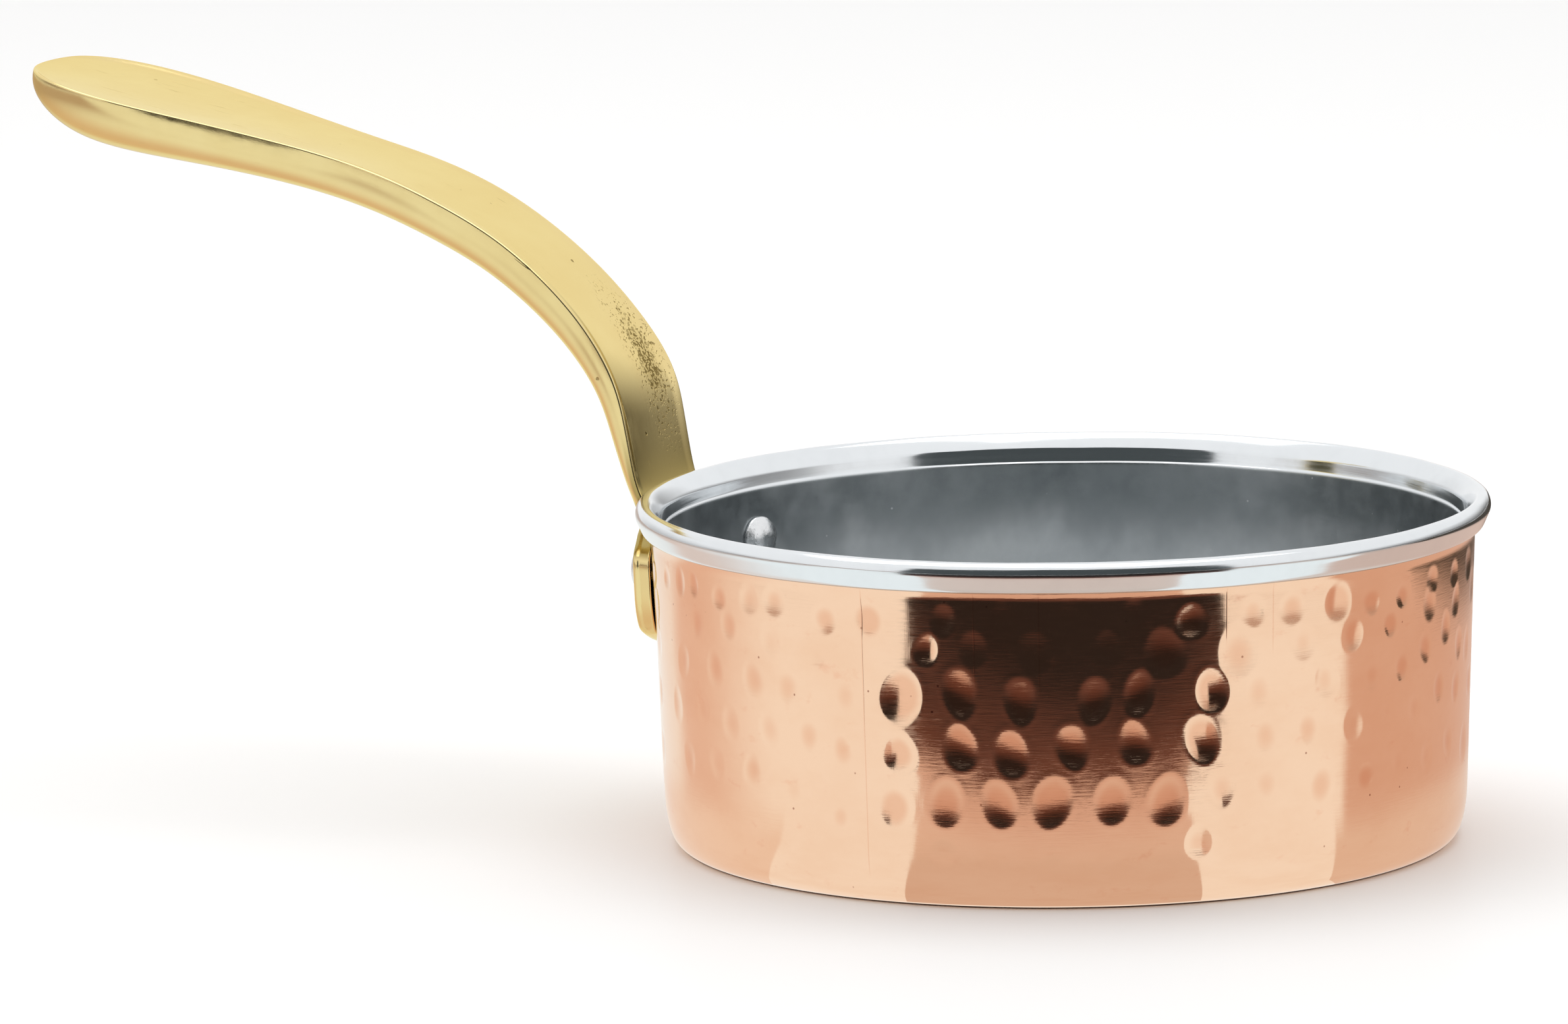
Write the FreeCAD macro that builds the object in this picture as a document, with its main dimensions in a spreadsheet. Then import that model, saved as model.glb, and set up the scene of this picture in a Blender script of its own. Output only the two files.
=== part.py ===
import FreeCAD, Part
import Sketcher
import math
import os

# Small copper saucepan: hammered copper outer shell, steel liner whose rolled rim
# captures the copper edge, and a cast brass handle held by two through rivets.
# Frame: origin at the centre of the resting plane, +Z up, handle along -X. Units mm.

V = FreeCAD.Vector
doc = FreeCAD.newDocument("saucepan")


def make_sheet(name, rows):
    """One row per size: text, alias, value (a number, or a formula of other aliases)."""
    sheet = doc.addObject("Spreadsheet::Sheet", name)
    for i, (alias, value) in enumerate(rows, start=1):
        sheet.set("A%d" % i, alias)
        sheet.set("B%d" % i, str(value))
        sheet.setAlias("B%d" % i, alias)
    doc.recompute()
    return sheet


sizes = make_sheet("Sizes", [
    # copper shell, outside face
    ("copper_wall", 1.4),
    ("copper_top_height", 56.0),
    ("copper_top_radius", 72.2),
    ("copper_low_height", 9.0),
    ("copper_low_radius", 70.5),
    ("copper_heel_height", 2.6),
    ("copper_heel_radius", 69.3),
    ("copper_base_radius", 66.6),
    ("copper_side_arc", 32.0),
    ("copper_heel_arc", 3.2),
    # steel liner: plain wall, shoulder, flare and rolled bead
    ("liner_wall", 0.8),
    ("liner_corner", 9.0),
    ("shoulder_height", 55.6),
    ("bead_radius", 2.7),
    ("bead_centre_radius", 72.3),
    ("bead_centre_height", 57.9),
    ("lip_turn", 0.24),
    # flange of the handle, a curved plate lying on the copper
    ("flange_thick", 3.6),
    ("flange_top", 54.6),
    ("flange_bottom", 30.4),
    ("flange_angle", 41.0),
    ("flange_neck_half", 16.5),
    ("flange_side_half", 27.0),
    ("flange_shoulder_height", 49.5),
    ("flange_side_height", 37.0),
    ("flange_foot_arc", 62.0),
    ("trim_half", 40.0),
    ("trim_low", 25.0),
    ("trim_high", 62.0),
    # rivets
    ("rivet_height", 46.2),
    ("rivet_angle", 14.5),
    ("wall_lean", 2.07),
    ("rivet_shank", 2.5),
    ("rivet_head", 4.3),
    ("rivet_outer_dome", 1.7),
    ("rivet_inner_dome", 1.9),
    ("rivet_head_edge", 0.5),
    # derived sizes
    ("copper_inner_top", "=copper_top_radius - copper_wall"),
    ("copper_inner_low", "=copper_low_radius - copper_wall"),
    ("liner_inner_top", "=copper_inner_top - liner_wall"),
    ("liner_inner_low", "=copper_inner_low - liner_wall"),
    ("copper_floor_edge", "=copper_inner_low - liner_corner"),
    ("liner_floor", "=copper_wall + liner_wall"),
    ("corner_top", "=copper_wall + liner_corner"),
    ("liner_corner_inner", "=liner_corner - liner_wall"),
    ("bead_inner_radius", "=bead_radius - liner_wall"),
    ("bead_outer_reach", "=bead_centre_radius + bead_radius"),
    ("bead_inner_reach", "=bead_centre_radius + bead_inner_radius"),
    ("lip_radius", "=bead_centre_radius - bead_radius * lip_turn"),
    ("lip_height", "=bead_centre_height + bead_radius * sqrt(1 - lip_turn ^ 2)"),
    ("lip_under_radius", "=bead_centre_radius - bead_inner_radius * lip_turn"),
    ("lip_under_height", "=bead_centre_height + bead_inner_radius * sqrt(1 - lip_turn ^ 2)"),
    ("roll_end_height", "=bead_centre_height - bead_radius"),
    ("roll_tuck_height", "=bead_centre_height - bead_inner_radius"),
    ("wall_slope", "=(copper_top_radius - copper_low_radius) / (copper_top_height - copper_low_height)"),
    ("flange_back_top", "=copper_low_radius + wall_slope * (flange_top - copper_low_height)"),
    ("flange_back_bottom", "=copper_low_radius + wall_slope * (flange_bottom - copper_low_height)"),
    ("flange_front_top", "=flange_back_top + flange_thick"),
    ("flange_front_bottom", "=flange_back_bottom + flange_thick"),
    ("rivet_wall_radius", "=copper_low_radius + wall_slope * (rivet_height - copper_low_height)"),
    ("rivet_front", "=flange_thick"),
    ("rivet_back", "=copper_wall + liner_wall + 0.15"),
    ("rivet_front_edge", "=rivet_front + rivet_head_edge"),
    ("rivet_back_edge", "=rivet_back + rivet_head_edge"),
    ("rivet_front_top", "=rivet_front + rivet_outer_dome"),
    ("rivet_back_top", "=rivet_back + rivet_inner_dome"),
    ("rivet_outer_crown", "=rivet_outer_dome - rivet_head_edge"),
    ("rivet_inner_crown", "=rivet_inner_dome - rivet_head_edge"),
    ("rivet_outer_curve", "=(rivet_head ^ 2 + rivet_outer_crown ^ 2) / (2 * rivet_outer_crown)"),
    ("rivet_inner_curve", "=(rivet_head ^ 2 + rivet_inner_crown ^ 2) / (2 * rivet_inner_crown)"),
])


def size(alias):
    return float(sizes.get(alias))


def bind(obj, prop, expression):
    obj.setExpression(prop, expression)


def origin_plane(body, role):
    return next(f for f in body.Origin.OriginFeatures if f.Role == role)


def new_body(name):
    body = doc.addObject("PartDesign::Body", name)
    body.Label = name
    return body


def new_sketch(body, name, role):
    sketch = body.newObject("Sketcher::SketchObject", name)
    sketch.AttachmentSupport = (origin_plane(body, role), [""])
    sketch.MapMode = "FlatFace"
    return sketch


def outline(sketch, points, arcs, sheet):
    """Closed outline. points: (x alias, x sign, y alias, y sign), alias None = 0.
    arcs: edge number -> (radius alias, side), side +1 bulges left of travel."""
    def value(alias, sign):
        return 0.0 if alias is None else sign * float(sheet.get(alias))

    corners = [V(value(px, sx), value(py, sy), 0) for px, sx, py, sy in points]
    count = len(corners)
    ends = []
    for i in range(count):
        a, b = corners[i], corners[(i + 1) % count]
        if i in arcs:
            radius, side = abs(float(sheet.get(arcs[i][0]))), arcs[i][1]
            half = (b - a).Length / 2
            rise = radius - math.sqrt(max(radius * radius - half * half, 0.0))
            along = (b - a).normalize()
            middle = (a + b) * 0.5 + V(-along.y, along.x, 0) * rise * side
            index = sketch.addGeometry(Part.Arc(a, middle, b), False)
            swapped = sketch.getPoint(index, 1).distanceToPoint(a) > 1e-6
            ends.append((index, 2, 1) if swapped else (index, 1, 2))
        else:
            index = sketch.addGeometry(Part.LineSegment(a, b), False)
            ends.append((index, 1, 2))
    for i in range(count):
        index, start, end = ends[i]
        after, after_start, _ = ends[(i + 1) % count]
        sketch.addConstraint(Sketcher.Constraint("Coincident", index, end, after, after_start))
        px, sx, py, sy = points[i]
        for kind, alias, sign, here in (("DistanceX", px, sx, corners[i].x),
                                        ("DistanceY", py, sy, corners[i].y)):
            number = sketch.addConstraint(
                Sketcher.Constraint(kind, -1, 1, index, start, here))
            if alias is not None:
                bind(sketch, "Constraints[%d]" % number,
                     "%s%s.%s" % ("-" if sign < 0 else "", sheet.Name, alias))
        if i in arcs:
            number = sketch.addConstraint(
                Sketcher.Constraint("Radius", index, float(sheet.get(arcs[i][0]))))
            bind(sketch, "Constraints[%d]" % number, "%s.%s" % (sheet.Name, arcs[i][0]))
    return sketch


def revolve(body, name, sketch, axis, angle=360.0):
    turned = body.newObject("PartDesign::Revolution", name)
    turned.Profile = sketch
    turned.ReferenceAxis = (sketch, [axis])
    turned.Angle = angle
    turned.Midplane = angle < 360.0
    turned.Refine = False
    return turned


# ------------------------------------------------------------- copper shell
copper = new_body("copper_blank")
copper_sketch = outline(new_sketch(copper, "copper_section", "XZ_Plane"), [
    (None, 1, None, 1),
    ("copper_base_radius", 1, None, 1),
    ("copper_heel_radius", 1, "copper_heel_height", 1),
    ("copper_low_radius", 1, "copper_low_height", 1),
    ("copper_top_radius", 1, "copper_top_height", 1),
    ("copper_inner_top", 1, "copper_top_height", 1),
    ("copper_inner_low", 1, "corner_top", 1),
    ("copper_floor_edge", 1, "copper_wall", 1),
    (None, 1, "copper_wall", 1),
], {1: ("copper_heel_arc", -1), 2: ("copper_side_arc", -1), 6: ("liner_corner", 1)}, sizes)
revolve(copper, "copper_turned", copper_sketch, "V_Axis")

# -------------------------------------------------------------- steel liner
liner = new_body("liner_blank")
liner_sketch = outline(new_sketch(liner, "liner_section", "XZ_Plane"), [
    (None, 1, "copper_wall", 1),
    ("copper_floor_edge", 1, "copper_wall", 1),
    ("copper_inner_low", 1, "corner_top", 1),
    ("copper_inner_top", 1, "copper_top_height", 1),
    ("lip_under_radius", 1, "lip_under_height", 1),
    ("bead_inner_reach", 1, "bead_centre_height", 1),
    ("bead_centre_radius", 1, "roll_tuck_height", 1),
    ("bead_centre_radius", 1, "roll_end_height", 1),
    ("bead_outer_reach", 1, "bead_centre_height", 1),
    ("lip_radius", 1, "lip_height", 1),
    ("liner_inner_top", 1, "shoulder_height", 1),
    ("liner_inner_low", 1, "corner_top", 1),
    ("copper_floor_edge", 1, "liner_floor", 1),
    (None, 1, "liner_floor", 1),
], {1: ("liner_corner", -1), 4: ("bead_inner_radius", 1), 5: ("bead_inner_radius", 1),
    7: ("bead_radius", -1), 8: ("bead_radius", -1), 11: ("liner_corner_inner", 1)}, sizes)
revolve(liner, "liner_turned", liner_sketch, "V_Axis")

# ----------------------------------------------------------- handle: flange
handle = new_body("handle_blank")
flange_sketch = outline(new_sketch(handle, "flange_section", "XZ_Plane"), [
    ("flange_back_bottom", -1, "flange_bottom", 1),
    ("flange_back_top", -1, "flange_top", 1),
    ("flange_front_top", -1, "flange_top", 1),
    ("flange_front_bottom", -1, "flange_bottom", 1),
], {}, sizes)
flange = revolve(handle, "flange_plate", flange_sketch, "V_Axis", size("flange_angle"))
bind(flange, "Angle", "Sizes.flange_angle")

trim_sketch = new_sketch(handle, "flange_outline", "YZ_Plane")
outline(trim_sketch, [
    ("flange_neck_half", -1, "flange_top", 1),
    ("flange_neck_half", 1, "flange_top", 1),
    ("flange_side_half", 1, "flange_shoulder_height", 1),
    ("flange_side_half", 1, "flange_side_height", 1),
    ("flange_side_half", -1, "flange_side_height", 1),
    ("flange_side_half", -1, "flange_shoulder_height", 1),
], {3: ("flange_foot_arc", 1)}, sizes)
outline(trim_sketch, [
    ("trim_half", -1, "trim_low", 1),
    ("trim_half", 1, "trim_low", 1),
    ("trim_half", 1, "trim_high", 1),
    ("trim_half", -1, "trim_high", 1),
], {}, sizes)
trim = handle.newObject("PartDesign::Pocket", "flange_trim")
trim.Profile = trim_sketch
trim.Type = "ThroughAll"
trim.Midplane = True
doc.recompute()

# --------------------------------------------------------- handle: cast grip
# Sections along the grip, tip first. reach = distance from the pan axis and rise =
# height of the top face's centre, lean = angle of the grip above the horizontal,
# half = half width, edge = height of the side, deep = depth of the section.
stations = [
    # reach, rise, lean, half, edge, deep
    (199.0, 129.9, 12.0, 2.2, 0.8, 1.6),
    (197.9, 129.6, 12.0, 7.5, 1.4, 3.4),
    (194.5, 128.8, 12.0, 13.3, 2.2, 5.6),
    (188.0, 127.4, 12.0, 17.0, 3.0, 7.8),
    (177.0, 125.0, 12.0, 18.2, 3.4, 9.4),
    (160.0, 121.3, 12.2, 15.1, 3.4, 8.6),
    (140.0, 116.8, 14.5, 12.1, 3.4, 8.0),
    (122.0, 111.4, 20.0, 12.0, 3.4, 8.0),
    (106.5, 104.0, 33.0, 11.4, 3.2, 7.6),
    (93.0, 93.6, 44.0, 11.3, 3.0, 7.2),
    (84.1, 82.6, 61.0, 11.6, 2.8, 6.6),
    (79.1, 70.0, 79.0, 12.0, 2.4, 5.2),
    (77.7, 58.0, 88.0, 11.6, 2.0, 4.2),
    (75.6, 51.5, 80.0, 11.5, 1.4, 3.6),
    (74.1, 42.0, 88.0, 9.0, 0.7, 1.8),
]
fields = ("reach", "rise", "lean", "half", "edge", "deep")
rows = []
for number, station in enumerate(stations):
    for field, value in zip(fields, station):
        rows.append(("%s_at_%02d" % (field, number), value))
    rows.append(("belly_at_%02d" % number, "=(half_at_%02d ^ 2 + (deep_at_%02d - edge_at_%02d) ^ 2)"
                 " / (2 * (deep_at_%02d - edge_at_%02d))" % ((number,) * 5)))
grip_sizes = make_sheet("Grip", rows)

sections = []
for number in range(len(stations)):
    tag = "_at_%02d" % number
    section = new_sketch(handle, "grip_section_%02d" % number, "YZ_Plane")
    section.AttachmentOffset = FreeCAD.Placement(
        V(0, stations[number][1], -stations[number][0]),
        FreeCAD.Rotation(V(1, 0, 0), stations[number][2]))
    bind(section, ".AttachmentOffset.Base.y", "Grip.rise" + tag)
    bind(section, ".AttachmentOffset.Base.z", "-Grip.reach" + tag)
    outline(section, [
        ("half" + tag, -1, None, 1),
        ("half" + tag, 1, None, 1),
        ("half" + tag, 1, "edge" + tag, -1),
        ("half" + tag, -1, "edge" + tag, -1),
    ], {2: ("belly" + tag, 1)}, grip_sizes)
    sections.append(section)

grip = handle.newObject("PartDesign::AdditiveLoft", "grip_cast")
grip.Profile = sections[0]
grip.Sections = sections[1:]
grip.Ruled = False
grip.Refine = False
handle.Tip = grip
doc.recompute()

# ------------------------------------------------------------------ rivets
def rivet(name, side):
    """Through rivet lying along local X: zero is the copper's outside face."""
    body = new_body(name)
    section = outline(new_sketch(body, name + "_section", "XZ_Plane"), [
        ("rivet_front_top", -1, None, 1),
        ("rivet_front_edge", -1, "rivet_head", 1),
        ("rivet_front", -1, "rivet_head", 1),
        ("rivet_front", -1, "rivet_shank", 1),
        ("rivet_back", 1, "rivet_shank", 1),
        ("rivet_back", 1, "rivet_head", 1),
        ("rivet_back_edge", 1, "rivet_head", 1),
        ("rivet_back_top", 1, None, 1),
    ], {0: ("rivet_outer_curve", 1), 6: ("rivet_inner_curve", 1)}, sizes)
    revolve(body, name + "_turned", section, "H_Axis")
    body.Placement = rivet_place(side)
    return body


def rivet_place(side):
    """Local -X points out of the pan, square to the leaning wall, at the rivet's height."""
    turn = FreeCAD.Rotation(V(0, 0, 1), side * size("rivet_angle"))
    lean = FreeCAD.Rotation(V(0, 1, 0), -size("wall_lean"))
    place = turn.multiply(lean)
    at = turn.multVec(V(-size("rivet_wall_radius"), 0, size("rivet_height")))
    return FreeCAD.Placement(at, place)


rivets = {"rivet_left": rivet("rivet_left", 1), "rivet_right": rivet("rivet_right", -1)}
doc.recompute()

# -------------------------------------------------- rivet holes through all
drills = []
for label, side in (("hole_left", 1), ("hole_right", -1)):
    drill = doc.addObject("Part::Cylinder", label)
    bind(drill, "Radius", "Sizes.rivet_shank * 1 mm")
    drill.Height = 16.0
    place = rivet_place(side)
    drill.Placement = place.multiply(
        FreeCAD.Placement(V(-8.0, 0, 0), FreeCAD.Rotation(V(0, 1, 0), 90)))
    drills.append(drill)
holes = doc.addObject("Part::MultiFuse", "rivet_holes")
holes.Shapes = drills


def drilled(label, blank):
    cut = doc.addObject("Part::Cut", label)
    cut.Label = label
    cut.Base = blank
    cut.Tool = holes
    return cut


parts = {
    "copper_shell": drilled("copper_shell", copper),
    "steel_liner": drilled("steel_liner", liner),
    "handle": drilled("handle", handle),
}
parts.update(rivets)
doc.recompute()

for obj in doc.Objects:
    for flag in ("Invalid", "Error"):
        if flag in obj.State:
            raise RuntimeError("%s is %s" % (obj.Name, flag))

os.makedirs("parts", exist_ok=True)
for label, obj in parts.items():
    shape = obj.Shape
    if shape.isNull() or not shape.isValid() or len(shape.Solids) != 1:
        raise RuntimeError("%s: bad shape, %d solids" % (label, len(shape.Solids)))
    shape.exportStep("parts/%s.step" % label)
    box = shape.BoundBox
    print("%s volume %.0f x %.1f..%.1f y %.1f..%.1f z %.1f..%.1f" % (
        label, shape.Volume, box.XMin, box.XMax, box.YMin, box.YMax, box.ZMin, box.ZMax))
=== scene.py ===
import bpy
import math
import random
import numpy as np
from mathutils import Matrix, Vector


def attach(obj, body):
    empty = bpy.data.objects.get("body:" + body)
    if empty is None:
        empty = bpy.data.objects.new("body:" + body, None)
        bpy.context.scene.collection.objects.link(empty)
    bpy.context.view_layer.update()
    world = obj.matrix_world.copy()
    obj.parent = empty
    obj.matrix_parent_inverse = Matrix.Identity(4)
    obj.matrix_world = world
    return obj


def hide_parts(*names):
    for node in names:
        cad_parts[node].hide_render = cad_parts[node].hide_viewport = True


# Hammered copper saucepan. Metres, Z up, handle along -X. Angles "round" are degrees from
# the handle's direction, growing towards the side that faces the camera.

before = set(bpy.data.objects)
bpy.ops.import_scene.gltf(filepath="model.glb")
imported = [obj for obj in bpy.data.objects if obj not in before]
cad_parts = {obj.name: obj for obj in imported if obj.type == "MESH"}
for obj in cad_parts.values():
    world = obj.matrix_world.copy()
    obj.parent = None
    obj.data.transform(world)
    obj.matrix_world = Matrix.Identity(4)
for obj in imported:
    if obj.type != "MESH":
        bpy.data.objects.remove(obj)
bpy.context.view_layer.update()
MM = 0.001
VIEW = 24.0          # degrees the handle points away from the picture plane
WALL_RADIUS = 72.0   # mm, for lengths measured round the wall


# ------------------------------------------------------------------ mesh help
def grid_mesh(name, points, wrap, close_rows=True, close_cols=False):
    """Mesh from a (rows, cols, 3) grid in mm. wrap is a (rows, cols + 1, 3) map of the
    surface in mm, kept on face corners so that it has no seam."""
    rows, cols = points.shape[:2]
    index = np.arange(rows * cols).reshape(rows, cols)
    nxt = np.roll(index, -1, axis=1) if close_rows else index[:, 1:]
    now = index if close_rows else index[:, :-1]
    faces = np.stack([now[:-1], nxt[:-1], nxt[1:], now[1:]], axis=-1)
    cells = faces.shape[:2]
    faces = faces.reshape(-1, 4)
    mesh = bpy.data.meshes.new(name)
    mesh.from_pydata((points.reshape(-1, 3) * MM).tolist(), [], faces.tolist())
    layer = mesh.attributes.new("wrap", "FLOAT_VECTOR", "CORNER")
    corner = np.stack([wrap[:-1, :-1], wrap[:-1, 1:], wrap[1:, 1:], wrap[1:, :-1]], axis=2)
    corner = corner[:cells[0], :cells[1]].reshape(-1, 3)
    layer.data.foreach_set("vector", corner.astype(np.float32).ravel())
    mesh.validate()
    mesh.update()
    obj = bpy.data.objects.new(name, mesh)
    bpy.context.scene.collection.objects.link(obj)
    return obj


def tidy_mesh(obj, merge=0.002):
    """Welds poles and seams, makes the normals point outwards, and shades smooth."""
    import bmesh
    work = bmesh.new()
    work.from_mesh(obj.data)
    bmesh.ops.remove_doubles(work, verts=work.verts, dist=merge * MM)
    bmesh.ops.recalc_face_normals(work, faces=work.faces)
    work.to_mesh(obj.data)
    work.free()
    obj.data.polygons.foreach_set("use_smooth", [True] * len(obj.data.polygons))
    obj.data.update()
    return obj


def arc_points(centre, radius, start, stop, count):
    """Points on a circle, angles in degrees from +r towards +z."""
    t = np.radians(np.linspace(start, stop, count))
    return [(centre[0] + radius * math.cos(a), centre[1] + radius * math.sin(a)) for a in t]


def line_points(a, b, count):
    """Evenly spaced points after a, up to and including b."""
    return [(a[0] + (b[0] - a[0]) * i / count, a[1] + (b[1] - a[1]) * i / count)
            for i in range(1, count + 1)]


def bezier(a, b, c, count):
    """Quadratic curve from a to c that leaves towards b, without its first point."""
    return [tuple((1 - t) ** 2 * np.array(a) + 2 * t * (1 - t) * np.array(b)
                  + t * t * np.array(c)) for t in np.linspace(0, 1, count + 1)[1:]]


def turned(name, profile, segments, shape=None, start=180.0):
    """Turns an (r, z) outline in mm round Z. shape(angle, r, z) may move the points.
    The seam is on the handle's side."""
    profile = np.array(profile, float)
    angle = np.radians(start + np.arange(segments) * 360.0 / segments)
    r = np.repeat(profile[:, :1], segments, axis=1)
    z = np.repeat(profile[:, 1:], segments, axis=1)
    if shape is not None:
        r, z = shape(angle[None, :], r, z)
    points = np.stack([r * np.cos(angle), r * np.sin(angle), z], axis=-1)
    length = np.r_[0, np.cumsum(np.hypot(*np.diff(profile, axis=0).T))]
    turn = np.linspace(0, 360.0, segments + 1)
    wrap = np.zeros((len(profile), segments + 1, 3))
    wrap[:, :, 0] = turn[None, :] * math.radians(1) * WALL_RADIUS
    wrap[:, :, 1] = length[:, None]
    wrap[:, :, 2] = profile[:, :1]
    return tidy_mesh(grid_mesh(name, points, wrap))


# ------------------------------------------------------------- hammered copper
wall_low, wall_top = (70.5, 9.0), (72.2, 55.7)

# hammer marks that face the camera: round, height, half width, half height, depth
marks = [
    (41, 50.2, 1.9, 2.0, .14), (47, 50.6, 2.0, 2.7, .16), (51.5, 51.0, 2.0, 2.4, .20),
    (58.5, 49.9, 2.2, 2.2, .18), (65.5, 50.8, 2.5, 2.9, .17), (70.5, 51.1, 2.6, 2.8, .20),
    (79.5, 48.9, 2.6, 2.7, .20), (86.5, 49.6, 2.9, 3.2, .24), (97.5, 50.4, 2.2, 2.9, .15),
    (105.5, 51.1, 2.3, 2.6, .08), (114.5, 50.9, 2.4, 2.6, .06), (123.5, 51.8, 2.2, 2.2, .07),
    (131.4, 49.7, 2.9, 3.1, .25), (140.5, 50.4, 2.5, 2.8, .20), (146.6, 50.2, 2.7, 2.8, .20),
    (154.5, 50.2, 3.0, 3.4, .25), (161.2, 49.2, 2.4, 2.5, .19), (168, 49.2, 2.2, 2.4, .21),
    (176, 50.4, 2.1, 2.4, .18), (184, 50.1, 2.1, 2.3, .20),
    (52, 44.2, 2.3, 3.0, .12), (60.5, 45.4, 2.2, 2.8, .14), (69.5, 44.3, 2.4, 3.1, .10),
    (78, 42.6, 2.0, 2.2, .10), (95, 45.1, 2.2, 2.9, .20), (101.6, 45.6, 2.6, 3.1, .10),
    (110, 45.0, 3.0, 3.8, .11), (119.8, 45.8, 2.6, 3.2, .09), (127.7, 44.6, 3.7, 4.4, .19),
    (138.6, 43.7, 3.9, 4.8, .20), (148.5, 43.9, 2.8, 3.3, .17), (157.5, 44.1, 2.6, 3.1, .19),
    (165.3, 44.6, 2.1, 2.5, .20), (175.3, 46.4, 2.3, 3.2, .18), (185, 45.2, 2.1, 3.0, .20),
    (47, 36.8, 2.5, 3.3, .14), (56.5, 37.1, 2.5, 3.4, .14), (65.5, 36.8, 2.6, 3.4, .14),
    (72.5, 36.5, 2.6, 3.4, .14), (82.5, 36.0, 2.7, 3.7, .16), (91, 36.6, 4.0, 5.0, .33),
    (99.6, 37.7, 3.0, 4.4, .27), (108, 36.5, 2.8, 4.1, .25), (118, 36.6, 2.8, 4.1, .25),
    (124.1, 37.7, 2.6, 4.1, .25), (134.4, 37.4, 3.0, 3.9, .30), (141.6, 36.9, 2.7, 3.4, .13),
    (152.4, 37.2, 2.7, 3.6, .19), (161.4, 36.2, 2.4, 2.9, .15), (168.2, 36.6, 2.2, 2.7, .18),
    (174.4, 38.8, 2.1, 2.9, .18), (181, 41.2, 2.1, 3.0, .20), (187, 37.0, 2.1, 3.0, .18),
    (43.5, 28.5, 2.4, 3.3, .12), (52.5, 29.5, 2.5, 3.2, .12), (60, 28.2, 2.5, 3.2, .12),
    (68.5, 28.4, 2.5, 3.3, .12), (76, 28.3, 2.5, 3.2, .15), (81.7, 26.6, 2.3, 3.2, .17),
    (90.6, 26.9, 3.2, 3.6, .29), (99.5, 28.4, 3.1, 4.1, .28), (106.6, 27.4, 3.1, 4.2, .28),
    (115, 28.5, 2.9, 4.0, .27), (123.5, 29.2, 2.9, 4.0, .27), (133, 28.9, 3.2, 4.4, .32),
    (142.6, 28.6, 2.4, 3.2, .14), (149.6, 29.0, 2.4, 3.2, .17), (158, 28.4, 2.4, 3.0, .12),
    (165, 29.3, 2.4, 3.0, .12), (171.6, 28.6, 2.3, 3.0, .13), (179, 31.0, 2.2, 3.0, .18),
    (186, 29.5, 2.2, 3.0, .18),
    (47.5, 19.5, 2.4, 3.2, .10), (56, 20.4, 2.4, 3.0, .10), (64.5, 20.8, 2.4, 3.0, .17),
    (73, 18.8, 2.5, 3.2, .10), (81, 14.8, 2.2, 2.6, .16), (89.7, 17.2, 3.3, 4.0, .27),
    (97.3, 18.5, 3.3, 4.4, .28), (104.8, 18.6, 3.1, 4.3, .27), (112.1, 18.9, 3.4, 4.6, .28),
    (120.4, 19.0, 3.2, 4.2, .27), (128, 18.8, 3.4, 4.6, .30), (136, 20.0, 2.6, 3.4, .17),
    (142.8, 20.2, 2.6, 3.2, .14), (152, 18.6, 2.8, 3.7, .19), (160.6, 18.9, 2.5, 2.7, .18),
    (168, 20.6, 2.4, 3.0, .12), (175.5, 19.8, 2.3, 3.0, .14), (183, 20.5, 2.2, 3.0, .15),
    (89.2, 8.8, 2.5, 2.6, .10), (96.7, 9.4, 2.4, 2.8, .10), (102, 6.6, 1.8, 2.0, .06),
    (112, 7.6, 2.2, 2.2, .06), (132.6, 11.2, 2.7, 3.1, .19), (143, 10.2, 2.3, 2.6, .08),
    (151.2, 8.0, 2.5, 2.9, .14),
]
chance = random.Random(11)
for row, height in enumerate((50.2, 44.8, 37.0, 28.4, 19.2)):
    at = 192.0 + (row % 2) * 4.0
    while at < 398.0:
        marks.append((at, height + chance.uniform(-1.2, 1.2), chance.uniform(2.2, 3.2),
                      (2.6 if row == 0 else 3.5) * chance.uniform(0.85, 1.15),
                      chance.uniform(0.14, 0.27)))
        at += chance.uniform(7.0, 9.6)
waves = [(chance.randint(3, 17), chance.uniform(0.05, 0.28), chance.uniform(0, 6.28),
          chance.uniform(0.35, 1.0)) for _ in range(14)]
tilts = [chance.uniform(-0.3, 0.3) for _ in marks]
eggs = [chance.uniform(-0.22, 0.22) for _ in marks]


def hammered(angle, r, z):
    """Presses the hammer marks and a slight waviness into the outside of the wall."""
    radius, height = r.copy(), z.copy()
    outside = (r > 69.0) & (z > 2.0) & (z < 55.2) & (r > 69.0 + (z - 9.0) * 0.036 + 0.9)
    band = np.clip((z - 3.0) / 6.0, 0, 1) * np.clip((54.6 - z) / 1.5, 0, 1)
    swell = sum(size * np.sin(count * angle + high * z + phase)
                for count, high, phase, size in waves) * 0.012
    push = -swell * band
    full = np.degrees(angle) - 180.0
    for (around, at, wide, tall, deep), tilt, egg in zip(marks, tilts, eggs):
        off = (full - around + 180.0) % 360.0 - 180.0
        cols = np.abs(off[0]) < 7.0
        rows = np.abs(z[:, 0] - at) < 6.5
        if not cols.any() or not rows.any():
            continue
        s = np.radians(off[:, cols]) * WALL_RADIUS
        t = z[np.ix_(rows, cols)] - at
        u = (s * math.cos(tilt) + t * math.sin(tilt)) / wide
        v = (t * math.cos(tilt) - s * math.sin(tilt)) / tall
        u = u * (1.0 + egg * v)
        q = u * u + v * v
        dish = np.clip(1.0 - q, 0, 1) ** 1.25
        brow = 0.04 * np.exp(-((np.sqrt(q) - 1.12) / 0.14) ** 2)
        push[np.ix_(rows, cols)] += deep * (dish - brow)
    radius = np.where(outside, r - push, r)
    # the wall turns out a little where the rim grips it
    radius = radius + np.where(r > 70.9, 0.32 * np.clip((z - 53.6) / 1.6, 0, 1) ** 2, 0.0)
    return radius, height


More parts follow.
